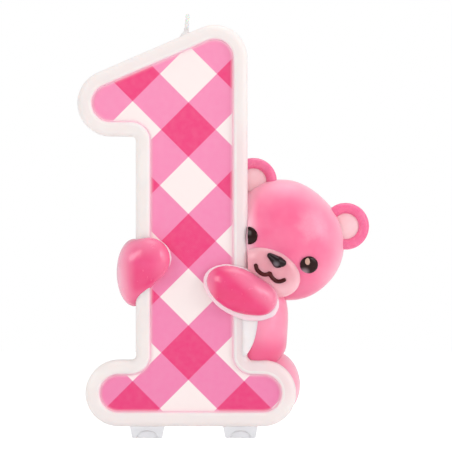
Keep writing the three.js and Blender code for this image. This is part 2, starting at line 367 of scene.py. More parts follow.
# poured wax: cloudy tone, a fine skin, a few pits, and scuffs that dull the shine
def makeWaxSkin():
    tree, given, made = newGroup(
        "waxSkin",
        [("Cloud Scale", 220.0), ("Grain Scale", 2600.0), ("Pits", 0.3)],
        ["Cloud", "Height", "Scuff"],
    )
    place = addNode(tree, "ShaderNodeTexCoord").outputs["Object"]
    cloud = noiseNode(tree, place, given.outputs["Cloud Scale"], 2.0)
    grain = noiseNode(tree, place, given.outputs["Grain Scale"], 4.0, 0.6)
    waves = noiseNode(tree, place, 420.0, 1.0)
    spots = addNode(tree, "ShaderNodeTexVoronoi", feature="F1")
    tree.links.new(place, spots.inputs["Vector"])
    spots.inputs["Scale"].default_value = 900.0
    pits = mapRange(tree, spots.outputs["Distance"], 0.05, 0.2, 1.0, 0.0, True)
    chosen = mapRange(tree, noiseNode(tree, place, 310.0), 0.6, 0.68)
    fewPits = mathNode(tree, "MULTIPLY", pits, chosen)
    pitDepth = mathNode(tree, "MULTIPLY", fewPits, given.outputs["Pits"])
    grainHeight = mathNode(tree, "MULTIPLY", grain, 0.25)
    waveHeight = mathNode(tree, "MULTIPLY", waves, 0.9)
    smoothHeight = mathNode(tree, "ADD", grainHeight, waveHeight)
    height = mathNode(tree, "SUBTRACT", smoothHeight, pitDepth)
    scuff = mapRange(tree, noiseNode(tree, place, 640.0, 4.0, 0.6), 0.45, 0.75)
    tree.links.new(cloud, made.inputs["Cloud"])
    tree.links.new(height, made.inputs["Height"])
    tree.links.new(scuff, made.inputs["Scuff"])
    return tree


waxSkin = makeWaxSkin()


def startMaterial(name):
    material = bpy.data.materials.new(name)
    material.use_nodes = True
    tree = material.node_tree
    shader = tree.nodes["Principled BSDF"]
    return material, tree, shader


def placeSkin(tree, shader, finish):
    skin = addNode(tree, "ShaderNodeGroup", node_tree=waxSkin)
    skin.inputs["Cloud Scale"].default_value = finish.get("cloudScale", 220.0)
    skin.inputs["Grain Scale"].default_value = finish.get("grainScale", 2600.0)
    skin.inputs["Pits"].default_value = finish.get("pits", 0.3)
    bump = addNode(tree, "ShaderNodeBump")
    bump.inputs["Strength"].default_value = finish.get("bump", 0.25)
    bump.inputs["Distance"].default_value = finish.get("bumpDepth", 0.06) * mm
    tree.links.new(skin.outputs["Height"], bump.inputs["Height"])
    tree.links.new(bump.outputs["Normal"], shader.inputs["Normal"])
    rough = finish["rough"]
    scuffed = mapRange(tree, skin.outputs["Scuff"], 0, 1, rough, rough + 0.08)
    tree.links.new(scuffed, shader.inputs["Roughness"])
    return skin


sideways = (1, 0, 0)
inwards = (0, 1, 0)
upwards = (0, 0, 1)


def placeFade(tree, way, start, end):
    # 0 at start to 1 at end, measured along one direction of the object
    along = addNode(tree, "ShaderNodeVectorMath", operation="DOT_PRODUCT")
    tree.links.new(addNode(tree, "ShaderNodeTexCoord").outputs["Object"], along.inputs[0])
    along.inputs[1].default_value = way
    return mapRange(tree, along.outputs["Value"], start, end, smooth=True)


def addPaintedReflection(tree, colour, finish):
    # a painted reflection: a paler patch where a window's reflection lies on the wax, with fine cracks in it
    place = addNode(tree, "ShaderNodeTexCoord").outputs["Object"]
    away = addNode(tree, "ShaderNodeVectorMath", operation="DISTANCE")
    tree.links.new(place, away.inputs[0])
    away.inputs[1].default_value = finish["paintedReflection"]
    wobble = mapRange(tree, noiseNode(tree, place, 380.0, 3.0), 0.3, 0.7, -0.9 * mm, 0.9 * mm)
    edge = mathNode(tree, "ADD", away.outputs["Value"], wobble)
    patch = mapRange(tree, edge, finish["paintedReflectionReach"] * 0.35, finish["paintedReflectionReach"], 0.5, 0.0, True)
    cracks = addNode(tree, "ShaderNodeTexVoronoi", feature="DISTANCE_TO_EDGE")
    tree.links.new(place, cracks.inputs["Vector"])
    cracks.inputs["Scale"].default_value = 850.0
    lines = mapRange(tree, cracks.outputs["Distance"], 0.0, 0.07, 0.35, 0.0)
    share = mathNode(tree, "MULTIPLY", patch, mathNode(tree, "SUBTRACT", 1.0, lines))
    return mixColour(tree, share, colour, finish["paintedReflectionTone"])


def makeWax(name, finish):
    # tone is the body colour, cloud its lighter patches, and fades are (way, start, end, colour): painted
    # light and shade, paler or deeper along one direction
    material, tree, shader = startMaterial(name)
    skin = placeSkin(tree, shader, finish)
    cloudy = mapRange(tree, skin.outputs["Cloud"], 0.35, 0.7, smooth=True)
    colour = mixColour(tree, cloudy, finish["tone"], finish["cloud"])
    for way, start, end, shade in finish.get("fades", []):
        colour = mixColour(tree, placeFade(tree, way, start, end), shade, colour)
    if "paintedReflection" in finish:
        colour = addPaintedReflection(tree, colour, finish)
    tree.links.new(colour, shader.inputs["Base Color"])
    shader.inputs["Subsurface Weight"].default_value = finish.get("depth", 0.35)
    shader.inputs["Subsurface Radius"].default_value = finish.get("radius", (1.0, 0.6, 0.6))
    shader.inputs["Subsurface Scale"].default_value = finish.get("scatter", 1.2) * mm
    shader.inputs["Specular IOR Level"].default_value = finish.get("specular", 0.45)
    shader.inputs["Sheen Weight"].default_value = finish.get("sheen", 0.0)
    shader.inputs["Sheen Roughness"].default_value = 0.35
    shader.inputs["Sheen Tint"].default_value = finish.get("sheenTint", (1, 1, 1, 1))
    shader.inputs["Coat Weight"].default_value = finish.get("coat", 0.0)
    shader.inputs["Coat Roughness"].default_value = 0.22
    return material


whiteFinish = {
    "tone": paint(237, 229, 226),
    "cloud": paint(240, 233, 230),
    # painted pink light bounced from the bear onto the white wax's right side, kept off the bottom and the
    # top
    "fades": [
        (sideways, 11.5 * mm, 3.0 * mm, paint(236, 217, 218)),
        (upwards, 3.0 * mm, 9.0 * mm, paint(237, 229, 227)),
        (upwards, 64.0 * mm, 54.0 * mm, paint(237, 228, 226)),
    ],
    "rough": 0.38,
    "depth": 0.5,
    "radius": (1.0, 0.8, 0.7),
    "scatter": 3.0,
    "bump": 0.16,
    "pits": 0.2,
    "sheen": 0.3,
}
headFinish = {
    "tone": paint(244, 106, 150),
    "cloud": paint(246, 122, 160),
    "rough": 0.3,
    # painted light: paler towards the back, where light comes through the wax's edges, and paler beside the
    # stem; painted shade: deeper towards the bottom
    "fades": [
        (inwards, 0.8 * mm, -6.0 * mm, paint(251, 180, 200)),
        (sideways, 10.8 * mm, 13.6 * mm, paint(250, 190, 205)),
        (upwards, 26.0 * mm, 31.5 * mm, paint(239, 118, 157)),
    ],
    # painted reflection of a window, high on the head's right
    "paintedReflection": (24.2 * mm, -5.2 * mm, 40.3 * mm),
    "paintedReflectionReach": 4.2 * mm,
    "paintedReflectionTone": paint(252, 168, 191),
    "sheen": 0.4,
    "sheenTint": paint(255, 214, 224),
    "depth": 0.3,
    "bump": 0.3,
}
earFinish = {
    "tone": paint(239, 108, 153),
    "cloud": paint(242, 124, 164),
    "rough": 0.26,
    "sheen": 0.3,
    "sheenTint": paint(255, 214, 224),
    "depth": 0.3,
    "bump": 0.2,
    "pits": 0.35,
}
pawFinish = {
    "tone": paint(235, 67, 126),
    "cloud": paint(238, 79, 136),
    "rough": 0.22,
    "specular": 0.5,
    "coat": 0.2,
    "sheen": 0.3,
    "sheenTint": paint(255, 205, 220),
    "depth": 0.25,
    "bump": 0.04,
    # painted light: paler towards the top, the right, the back and the left edge, standing in for highlights
    # and light through the wax's edges
    "fades": [
        (upwards, 38.0 * mm, 32.5 * mm, paint(244, 134, 168)),
        (sideways, -4.4 * mm, -8.8 * mm, paint(240, 108, 150)),
        (inwards, -5.4 * mm, -6.8 * mm, paint(240, 102, 146)),
        (sideways, -15.8 * mm, -10.8 * mm, paint(252, 186, 206)),
    ],
}
bodyFinish = {
    "tone": paint(249, 146, 176),
    "cloud": paint(250, 158, 186),
    "rough": 0.28,
    "sheen": 0.14,
    "sheenTint": paint(255, 220, 228),
    "depth": 0.35,
    "bump": 0.25,
    # painted shade: deeper towards the bottom of the torso; painted light: paler towards the back, through
    # the wax's edges
    "fades": [
        (upwards, 14.5 * mm, 20.0 * mm, paint(238, 98, 142)),
        (inwards, 4.0 * mm, -3.0 * mm, paint(248, 184, 201)),
    ],
}
legFinish = {
    **bodyFinish,
    "sheen": 0.0,
    # painted light: paler towards the back, through the wax's edges
    "fades": [(inwards, 4.0 * mm, -3.0 * mm, paint(250, 194, 208))],
}
muzzleFinish = {
    "tone": paint(227, 152, 165),
    "cloud": paint(232, 164, 174),
    # painted light: paler towards the back, along the muzzle's edges
    "fades": [(inwards, -5.4 * mm, -7.2 * mm, paint(245, 190, 199))],
    "rough": 0.22,
    "sheen": 0.3,
    "depth": 0.3,
    "bump": 0.2,
}
liningFinish = {
    "tone": paint(252, 196, 203),
    "cloud": paint(253, 208, 213),
    "rough": 0.4,
    "depth": 0.3,
    "bump": 0.2,
}
skirtFinish = {
    "tone": paint(252, 213, 222),
    "cloud": paint(253, 221, 228),
    "rough": 0.36,
    "depth": 0.5,
    "bump": 0.2,
}

frontPawFinish = {
    **pawFinish,
    "tone": paint(233, 55, 117),
    "cloud": paint(236, 67, 127),
    # painted light: paler towards the upper right, both ends and the back, standing in for highlights and
    # light through the wax's edges
    "fades": [
        ((0.66, 0, 0.75), 29.3 * mm, 26.6 * mm, paint(238, 116, 153)),
        (sideways, 3.2 * mm, 5.6 * mm, paint(241, 128, 163)),
        (sideways, 18.8 * mm, 15.0 * mm, paint(242, 140, 168)),
        (inwards, -5.9 * mm, -6.9 * mm, paint(246, 166, 189)),
    ],
}
# painted light: the recess wall turns pink down towards the print, standing in for the print's glow in the
# white wax
glowFinish = {
    **whiteFinish,
    "fades": [(inwards, frontFace + 0.62 * mm, frontFace + 0.02 * mm, paint(253, 196, 214))],
}
# painted light: a lighter copy of the white wax for the web, making up for the shade the bear's arm casts on
# it
webLightenedFinish = {
    **whiteFinish,
    "tone": paint(250, 238, 237),
    "cloud": paint(252, 242, 241),
    "fades": [],
}

whiteWax = makeWax("whiteWax", whiteFinish)
glowWax = makeWax("glowWax", glowFinish)
webLightenedWax = makeWax("webLightenedWax", webLightenedFinish)
headWax = makeWax("headWax", headFinish)
earWax = makeWax("earWax", earFinish)
frontPawWax = makeWax("frontPawWax", frontPawFinish)
pawWax = makeWax("pawWax", pawFinish)
bodyWax = makeWax("bodyWax", bodyFinish)
legWax = makeWax("legWax", legFinish)
muzzleWax = makeWax("muzzleWax", muzzleFinish)
liningWax = makeWax("liningWax", liningFinish)
skirtWax = makeWax("skirtWax", skirtFinish)


gingham = {
    "halfPeriod": 11.16 * mm,
    "halfStripe": 5.46 * mm,
    "centreX": -0.66 * mm,
    "centreZ": 37.1 * mm,
    "soft": 0.12 * mm,
    "white": paint(247, 234, 232),
    "pink": paint(245, 147, 186),
    "pinkLow": paint(237, 131, 176),
    "deep": paint(238, 76, 130),
    "deepLow": paint(231, 68, 126),
    "bled": paint(252, 224, 230),
    "dots": 0.36 * mm,
}


def makeGingham():
    material, tree, shader = startMaterial("ginghamPrint")
    split = addNode(tree, "ShaderNodeSeparateXYZ")
    place = addNode(tree, "ShaderNodeTexCoord").outputs["Object"]
    tree.links.new(place, split.inputs["Vector"])
    across = mathNode(tree, "SUBTRACT", split.outputs["X"], gingham["centreX"])
    up = mathNode(tree, "SUBTRACT", split.outputs["Z"], gingham["centreZ"])
    stripes = []
    for operation in ("ADD", "SUBTRACT"):
        along = mathNode(tree, operation, across, up)
        wave = mathNode(tree, "PINGPONG", along, gingham["halfPeriod"])
        low, high = gingham["halfStripe"] - gingham["soft"], gingham["halfStripe"] + gingham["soft"]
        stripes.append(mapRange(tree, wave, low, high, 1.0, 0.0, True))
    one = mathNode(tree, "MAXIMUM", stripes[0], stripes[1])
    both = mathNode(tree, "MULTIPLY", stripes[0], stripes[1])
    # painted shade: the pink and deep squares darker towards the bottom
    rise = mapRange(tree, split.outputs["Z"], 0.0, numberHigh.z)
    pink = mixColour(tree, rise, gingham["pinkLow"], gingham["pink"])
    deep = mixColour(tree, rise, gingham["deepLow"], gingham["deep"])
    colour = mixColour(tree, one, gingham["white"], pink)
    colour = mixColour(tree, both, colour, deep)
    bleed = mapRange(tree, split.outputs["Y"], panelLow.y, panelLow.y + 0.05 * mm, 0.0, 0.85)
    colour = mixColour(tree, bleed, colour, gingham["bled"])
    # the print's halftone: rows of faint dots, only where there is ink
    dotWave = []
    for axis in ("X", "Z"):
        turns = mathNode(tree, "MULTIPLY", split.outputs[axis], 2 * math.pi / gingham["dots"])
        dotWave.append(mathNode(tree, "SINE", turns))
    dots = mapRange(tree, mathNode(tree, "MULTIPLY", dotWave[0], dotWave[1]), -1, 1, -0.5, 0.5)
    ink = mathNode(tree, "MULTIPLY", mathNode(tree, "MULTIPLY", dots, one), 0.06)
    mottle = mapRange(tree, noiseNode(tree, place, 900.0, 3.0), 0.3, 0.7, -0.02, 0.02)
    tone = addNode(tree, "ShaderNodeHueSaturation")
    tree.links.new(colour, tone.inputs["Color"])
    shift = mathNode(tree, "ADD", mathNode(tree, "ADD", ink, mottle), 1.0)
    tree.links.new(shift, tone.inputs["Saturation"])
    tree.links.new(tone.outputs["Color"], shader.inputs["Base Color"])
    placeSkin(tree, shader, {"rough": 0.42, "bump": 0.12, "pits": 0.1})
    shader.inputs["Specular IOR Level"].default_value = 0.35
    return material


ginghamPrint = makeGingham()


def makeGloss(name, tone, spotTone, centre, reach):
    # dark paint, lighter towards one spot on each feature: a painted reflection on the eyes, a painted
    # highlight on the nose, a lighter middle on the mouth
    material, tree, shader = startMaterial(name)
    skin = placeSkin(tree, shader, {"rough": 0.14, "bump": 0.1, "pits": 0.0})
    offset = addNode(tree, "ShaderNodeVectorMath", operation="DISTANCE")
    tree.links.new(addNode(tree, "ShaderNodeTexCoord").outputs["Object"], offset.inputs[0])
    offset.inputs[1].default_value = centre
    near = mapRange(tree, offset.outputs["Value"], 0.0, reach, 1.0, 0.0, True)
    cloudy = mathNode(tree, "MULTIPLY", near, mapRange(tree, skin.outputs["Cloud"], 0.2, 0.8, 0.7, 1.0))
    tree.links.new(mixColour(tree, cloudy, tone, spotTone), shader.inputs["Base Color"])
    shader.inputs["Specular IOR Level"].default_value = 0.22
    return material


def makeCotton():
    material, tree, shader = startMaterial("waxedCotton")
    place = addNode(tree, "ShaderNodeTexCoord").outputs["Object"]
    stretch = addNode(tree, "ShaderNodeMapping")
    tree.links.new(place, stretch.inputs["Vector"])
    stretch.inputs["Scale"].default_value = (9000.0, 9000.0, 1800.0)
    fibres = noiseNode(tree, stretch.outputs["Vector"], 1.0, 4.0, 0.65)
    tone = mixColour(tree, fibres, paint(226, 224, 220), paint(252, 252, 250))
    tree.links.new(tone, shader.inputs["Base Color"])
    tree.links.new(mapRange(tree, fibres, 0, 1, 0.55, 0.85), shader.inputs["Roughness"])
    bump = addNode(tree, "ShaderNodeBump")
    bump.inputs["Strength"].default_value = 0.5
    bump.inputs["Distance"].default_value = 0.05 * mm
    tree.links.new(fibres, bump.inputs["Height"])
    tree.links.new(bump.outputs["Normal"], shader.inputs["Normal"])
    shader.inputs["Subsurface Weight"].default_value = 0.3
    shader.inputs["Subsurface Scale"].default_value = 0.4 * mm
    return material


def makeClearPlastic():
    material, tree, shader = startMaterial("clearPlastic")
    skin = placeSkin(tree, shader, {"rough": 0.3, "bump": 0.02, "pits": 0.0, "grainScale": 900.0})
    frost = mapRange(tree, skin.outputs["Cloud"], 0.3, 0.7)
    tone = mixColour(tree, frost, paint(235, 235, 239), paint(241, 241, 244))
    tree.links.new(tone, shader.inputs["Base Color"])
    shader.inputs["Transmission Weight"].default_value = 0.9
    shader.inputs["IOR"].default_value = 1.49
    return material


cotton = makeCotton()
clearPlastic = makeClearPlastic()


print("number body")
numberWax = makeNumberBody()
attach(numberWax, "candle")
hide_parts("number_body")

printMaker = {"inset": 3.0 * mm, "dip": 0.05 * mm, "bleed": 0.6 * mm}


def makePrint():
    # the sheet's edge dips a little, and its ink bleeds pale there
    inset = printMaker["inset"]
    sheet = drawNumber("gingham_print", panelLow.y + printMaker["dip"], inset)
    bpy.ops.mesh.extrude_region_move(TRANSFORM_OT_translate={"value": (0, panelHigh.y - panelLow.y, 0)})
    closeEdit()
    recalculateNormals(sheet)
    selectFaces(sheet, lambda face: face.normal.y < -0.9)
    dip, bleed = printMaker["dip"], printMaker["bleed"]
    insetSteps([(bleed * 0.4, dip * 0.7), (bleed * 0.6, dip * 0.3), (rim["support"], 0)])
    closeEdit()
    return smoothShade(sheet, 40)


print("print")
finishPiece(makePrint(), "candle", ginghamPrint, "gingham_print", "gingham_panel")


# the white web beside the bear
web = {
    "inside": 9.4 * mm,
    "foot": 13.4 * mm,
    "start": 11.0 * mm,
    "startHeight": 14.3 * mm,
    "curve": 13.87 * mm,
    "turn": 33.0,
    "lean": 55.0,
    "top": 26.5 * mm,
    "setback": 0.04 * mm,
    "depth": 4 * mm,
    "round": 0.35 * mm,
}


def makeWeb():
    plate = startOutline("corner_web", web["inside"], frontFace + web["setback"] + web["round"], web["foot"])
    lineTo(plate, web["start"], web["startHeight"])
    lean = math.radians(web["lean"])
    curveX = web["start"] - web["curve"] * math.sin(lean)
    curveZ = web["startHeight"] + web["curve"] * math.cos(lean)
    arcRound(plate, curveX, curveZ, web["turn"], 16)
    lineTo(plate, penAt(plate).x, web["top"])
    lineTo(plate, web["inside"], web["top"])
    lineTo(plate, web["inside"], web["foot"])
    closeOutline(plate)
    bpy.ops.mesh.extrude_region_move(TRANSFORM_OT_translate={"value": (0, web["depth"], 0)})
    closeEdit()
    recalculateNormals(plate)
    selectFaces(plate, lambda face: face.normal.y < -0.9)
    insetSteps(outwardRound(web["round"], 4))
    insetSteps([(rim["support"], 0)])
    closeEdit()
    return smoothShade(plate, 40)


finishPiece(makeWeb(), "candle", webLightenedWax, "white_wax")


# wick: three strands laid up together, leaning over where it stands out
wickLow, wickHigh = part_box("wick")
wickMaker = {
    "strand": 0.27 * mm,
    "strandOut": 0.2 * mm,
    "pitch": 2.6 * mm,
    "strands": 3,
    "exit": 79.2 * mm,
    "lean": 6.0,
    "halfThick": 0.43 * mm,
    "ringSteps": 14,
}


def makeWick():
    axisX = wickLow.x + wickMaker["halfThick"]
    tall = wickHigh.z - wickLow.z
    strands = []
    for index in range(wickMaker["strands"]):
        turn = 2 * math.pi * index / wickMaker["strands"]
        out = wickMaker["strandOut"]
        clearSelection()
        bpy.ops.mesh.primitive_circle_add(
            vertices=10,
            radius=wickMaker["strand"],
            fill_type="NOTHING",
            location=(out * math.cos(turn), out * math.sin(turn), 0),
        )
        strand = settle(bpy.context.object)
        screw = strand.modifiers.new("twist", "SCREW")
        screw.screw_offset = wickMaker["pitch"]
        screw.iterations = max(1, round(tall / wickMaker["pitch"]))
        screw.steps = wickMaker["ringSteps"]
        screw.render_steps = wickMaker["ringSteps"]
        applyModifiers(strand)
        openEdit(strand)
        bpy.ops.mesh.select_all(action="SELECT")
        bpy.ops.mesh.remove_doubles(threshold=0.002 * mm)
        bpy.ops.mesh.select_all(action="SELECT")
        bpy.ops.mesh.fill_holes(sides=0)
        closeEdit()
        strands.append(strand)
    wick = joinAll(strands, "braided_wick")
    wick.location = (axisX, 0, wickLow.z)
    settle(wick)
    top = max(point.co.z for point in wick.data.vertices)
    openEdit(wick)
    bpy.ops.mesh.select_all(action="SELECT")
    fit = tall / (top - wickLow.z)
    bpy.ops.transform.resize(value=(1, 1, fit), center_override=(axisX, 0, wickLow.z))
    closeEdit()
    selectPoints(wick, lambda co: co.z > wickMaker["exit"])
    bpy.ops.transform.rotate(
        value=-math.radians(wickMaker["lean"]),
        orient_axis="Y",
        center_override=(axisX, 0, wickMaker["exit"]),
    )
    closeEdit()
    recalculateNormals(wick)
    return smoothShade(wick)


print("wick")
wick = makeWick()
finishPiece(wick, "candle", cotton, "waxed_cotton", "wick")


# wax drawn up round the wick's foot
collarMaker = {
    "flare": 1.9 * mm,
    "neck": 0.46 * mm,
    "rise": 1.5 * mm,
    "sink": 0.8 * mm,
    "rings": 7,
    "height": 78.3 * mm,
    "slope": 23.4,
}


def makeCollar():
    # rings drawn up and in, so that the side is hollow; the top edge's slope tips it
    clearSelection()
    bpy.ops.mesh.primitive_circle_add(vertices=40, radius=collarMaker["flare"], fill_type="NGON")
    collar = bpy.context.object
    collar.name = "wick_collar"
    openEdit(collar)
    bpy.ops.mesh.select_all(action="SELECT")
    bpy.ops.mesh.extrude_region_move(TRANSFORM_OT_translate={"value": (0, 0, collarMaker["sink"])})
    rings = collarMaker["rings"]
    reach = collarMaker["flare"] - collarMaker["neck"]
    radius = collarMaker["flare"]
    for ring in range(1, rings + 1):
        share = ring / rings
        step = (0, 0, collarMaker["rise"] / rings)
        bpy.ops.mesh.extrude_region_move(TRANSFORM_OT_translate={"value": step})
        narrower = collarMaker["neck"] + reach * (1 - share) ** 3
        shrink = narrower / radius
        bpy.ops.transform.resize(value=(shrink, shrink, 1), center_override=(0, 0, 0))
        radius = narrower
    closeEdit()
    tip = math.radians(collarMaker["slope"])
    selectPoints(collar, lambda co: co.z < collarMaker["sink"] * 1.5)
    bpy.ops.transform.rotate(value=tip, orient_axis="Y", center_override=(0, 0, collarMaker["sink"]))
    closeEdit()
    axisX = wickLow.x + wickMaker["halfThick"]
    collar.location = (axisX, 0, collarMaker["height"] - collarMaker["sink"])
    settle(collar)
    recalculateNormals(collar)
    return smoothShade(collar)


collar = makeCollar()
finishPiece(collar, "candle", whiteWax, "white_wax")


# clear feet
feet = {
    "topWidth": 7.0 * mm,
    "bottomWidth": 6.0 * mm,
    "tall": 2.4 * mm,
    "deep": 4.2 * mm,
    "archWidth": 4.2 * mm,
    "archTall": 1.5 * mm,
    "archDeep": 1.3 * mm,
    "tabWidth": 4.4 * mm,
    "tabDeep": 1.8 * mm,
    "edge": 0.22 * mm,
}


def makeFoot(name, node):
    low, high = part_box(node)
    middle = (low.x + high.x) / 2
    shoulder = low.z + feet["tall"] - 0.05 * mm
    clearSelection()
    bpy.ops.mesh.primitive_cube_add(
        size=1,
        location=(middle, 0, (low.z + shoulder) / 2),
        scale=(feet["topWidth"], feet["deep"], shoulder - low.z),
    )
    foot = settle(bpy.context.object)
    foot.name = name
    selectPoints(foot, lambda co: co.z < (low.z + shoulder) / 2)
    taper = feet["bottomWidth"] / feet["topWidth"]
    bpy.ops.transform.resize(value=(taper, 1, 1), center_override=(middle, 0, low.z))
    closeEdit()
    selectFaces(foot, lambda face: face.normal.z > 0.9)
    bpy.ops.mesh.inset(thickness=0.0001 * mm)
    squeeze = (feet["tabWidth"] / feet["topWidth"], feet["tabDeep"] / feet["deep"], 1)
    bpy.ops.transform.resize(value=squeeze, center_override=(middle, 0, shoulder))
    rise = high.z - shoulder
    bpy.ops.mesh.extrude_region_move(TRANSFORM_OT_translate={"value": (0, 0, rise)})
    closeEdit()
    for side in (-1, 1):
        clearSelection()
        bpy.ops.mesh.primitive_cylinder_add(
            vertices=48,
            radius=0.5,
            depth=feet["archDeep"] * 2,
            location=(middle, side * feet["deep"] / 2, low.z),
            rotation=(math.pi / 2, 0, 0),
            scale=(feet["archWidth"], feet["archTall"] * 2, 1),
        )
        arch = settle(bpy.context.object)
        cutter = foot.modifiers.new("arch", "BOOLEAN")
        cutter.operation = "DIFFERENCE"
        cutter.solver = "EXACT"
        cutter.object = arch
        applyModifiers(foot)
        bpy.data.objects.remove(arch)
    soft = foot.modifiers.new("edges", "BEVEL")
    soft.width = feet["edge"]
    soft.segments = 3
    soft.limit_method = "ANGLE"
    soft.angle_limit = math.radians(40)
    applyModifiers(foot)
    recalculateNormals(foot)
    return smoothShade(foot, 35)


print("feet")
for side in ("left", "right"):
    foot = makeFoot("clear_foot_" + side, "pick_foot_" + side)
    finishPiece(foot, side + "_foot", clearPlastic, "clear_plastic", "pick_foot_" + side)


# bear
headLow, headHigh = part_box("bear_head")
bear = {
    "tilt": math.radians(26),
    "headRadii": (12.2 * mm, 8.4 * mm, 11.6 * mm),
    "eyeLine": -2.0 * mm,
    "eyeLeft": -6.9 * mm,
    "eyeRight": 6.5 * mm,
    "eyeRadius": 1.75 * mm,
    "eyeProud": 0.6 * mm,
    "earRight": (9.8 * mm, 0.0, 8.2 * mm),
    "earLeft": (-10.8 * mm, 0.0, 8.2 * mm),
    "earRadius": 4.75 * mm,
    "liningRadius": 2.75 * mm,
    "muzzleDrop": -6.8 * mm,
    "muzzleRadii": (6.5 * mm, 2.6 * mm, 5.0 * mm),
    "muzzlePitch": math.radians(22),
}
wide, deep, tall = bear["headRadii"]
reach = math.hypot(wide * math.cos(bear["tilt"]), tall * math.sin(bear["tilt"]))
headCentre = Vector((headHigh.x - reach, (headLow.y + headHigh.y) / 2, (headLow.z + headHigh.z) / 2))


def onHead(across, y, up):
    # the head's own axes: across the face, and up it
    tilt = bear["tilt"]
    x = headCentre.x + across * math.cos(tilt) + up * math.sin(tilt)
    z = headCentre.z - across * math.sin(tilt) + up * math.cos(tilt)
    return Vector((x, headCentre.y + y, z))


def frontOfHead(across, up):
    rest = 1 - (across / wide) ** 2 - (up / tall) ** 2
    return -deep * math.sqrt(max(rest, 0))


muzzleDepth = frontOfHead(0, bear["muzzleDrop"]) + 0.9 * mm


def headFacing(across, up):
    y = frontOfHead(across, up)
    return Vector((across / wide**2, y / deep**2, up / tall**2)).normalized()


def frontOfMuzzle(across, up):
    # a line straight back from the front, met with the pitched ellipsoid
    a, b, c = bear["muzzleRadii"]
    sine, cosine = math.sin(bear["muzzlePitch"]), math.cos(bear["muzzlePitch"])
    above = up - bear["muzzleDrop"]
    # depth y and height above, turned back into the muzzle's own axes
    square = (cosine / b) ** 2 + (sine / c) ** 2
    cross = 2 * above * sine * cosine * (1 / b**2 - 1 / c**2)
    rest = (above * sine / b) ** 2 + (above * cosine / c) ** 2 + (across / a) ** 2 - 1
    inside = cross * cross - 4 * square * rest
    return muzzleDepth + (-cross - math.sqrt(max(inside, 0))) / (2 * square)


def addLump(centre, radii, turn=0.0, detail=5, facing=None, pitch=0.0):
    # facing is where the lump's front looks, in the turned frame
    way = Matrix.Rotation(turn, 3, "Y") @ Matrix.Rotation(pitch, 3, "X")
    if facing is not None:
        way = way @ Vector((0, -1, 0)).rotation_difference(facing).to_matrix()
    clearSelection()
    bpy.ops.mesh.primitive_ico_sphere_add(
        subdivisions=detail,
        radius=1,
        location=centre,
        rotation=way.to_euler(),
        scale=radii,
    )
    return settle(bpy.context.object)


def alongLimb(lumps, steps=5):
    # more lumps between each two, each a share of the way from one to the next
    filled = []
    for one, other in zip(lumps, lumps[1:]):
        for step in range(steps):
            share = step / steps
            filled.append([a + (b - a) * share for a, b in zip(one, other)])
    return [*filled, lumps[-1]]


def meltTogether(piece, voxel, passes):
    # what touches becomes one skin, and the joins in it are smoothed
    melt = piece.modifiers.new("melt", "REMESH")
    melt.mode = "VOXEL"
    melt.voxel_size = voxel
    smooth = piece.modifiers.new("smooth", "SMOOTH")
    smooth.factor = 0.5
    smooth.iterations = passes
    applyModifiers(piece)
    return smoothShade(piece)


def mergeLumps(name, lumps):
    pieces = []
    for x, y, z, a, b, c, turn in alongLimb(lumps):
        radii = (a * mm, b * mm, c * mm)
        pieces.append(addLump((x * mm, y * mm, z * mm), radii, math.radians(turn), 4))
    return meltTogether(joinAll(pieces, name), 0.32 * mm, 30)


def pushOut(piece, spot, step, grip, reach):
    # what lies within grip of the spot moves, and its surroundings follow softly out to reach
    selectPoints(piece, lambda co: (co - spot).length < grip)
    bpy.ops.transform.translate(
        value=step,
        use_proportional_edit=True,
        proportional_edit_falloff="SMOOTH",
        proportional_size=reach,
    )
    closeEdit()


print("head")
head = addLump(headCentre, bear["headRadii"], bear["tilt"], 6)
head.name = "head"
crown = onHead(-5.5 * mm, 0, 10.2 * mm)
cheek = onHead(7.0 * mm, -3 * mm, -7.2 * mm)
brow = onHead(2.0 * mm, -8.2 * mm, 1.5 * mm)
pushOut(head, crown, (-0.15 * mm, 0, 0.75 * mm), 2.0 * mm, 9 * mm)
pushOut(head, cheek, (0.2 * mm, -0.2 * mm, -0.2 * mm), 1.5 * mm, 6 * mm)
pushOut(head, brow, (0, 0.25 * mm, 0), 1.5 * mm, 6 * mm)
smoothShade(head)
finishPiece(head, "candle", headWax, "pink_wax", "bear_head")


def trimLeft(piece, x):
    # the number's side hides what would run past it
    openEdit(piece)
    bpy.ops.mesh.select_all(action="SELECT")
    bpy.ops.mesh.bisect(plane_co=(x, 0, 0), plane_no=(1, 0, 0), use_fill=True, clear_inner=True)
    closeEdit()
    return smoothShade(piece, 50)


sideOfStem = numberMaker["stemHalf"] + 0.05 * mm
muzzle = addLump(
    onHead(0, muzzleDepth, bear["muzzleDrop"]),
    bear["muzzleRadii"],
    bear["tilt"],
    pitch=bear["muzzlePitch"],
)
muzzle.name = "muzzle"
trimLeft(muzzle, sideOfStem)
finishPiece(muzzle, "candle", muzzleWax, "pale_pink_wax", "bear_muzzle")


earMaker = {
    "roll": 1.05 * mm,
    "rollForward": 0.7 * mm,
    "dishBack": 0.5 * mm,
    "dishInset": 0.25 * mm,
    "dishDeep": 1.6 * mm,
    "liningForward": 0.75 * mm,
    "liningDeep": 0.75 * mm,
}


def makeEar(name, place):
    centre = onHead(*place)
    radius = bear["earRadius"]
    roll = earMaker["roll"]
    clearSelection()
    bpy.ops.mesh.primitive_torus_add(
        major_radius=radius - roll,
        minor_radius=roll,
        major_segments=64,
        minor_segments=20,
        location=centre - Vector((0, earMaker["rollForward"], 0)),
        rotation=(math.pi / 2, 0, 0),
    )
    ring = settle(bpy.context.object)
    inner = radius - earMaker["dishInset"]
    back = centre + Vector((0, earMaker["dishBack"], 0))
    dish = addLump(back, (inner, earMaker["dishDeep"], inner))
    return meltTogether(joinAll([ring, dish], name), 0.22 * mm, 8)


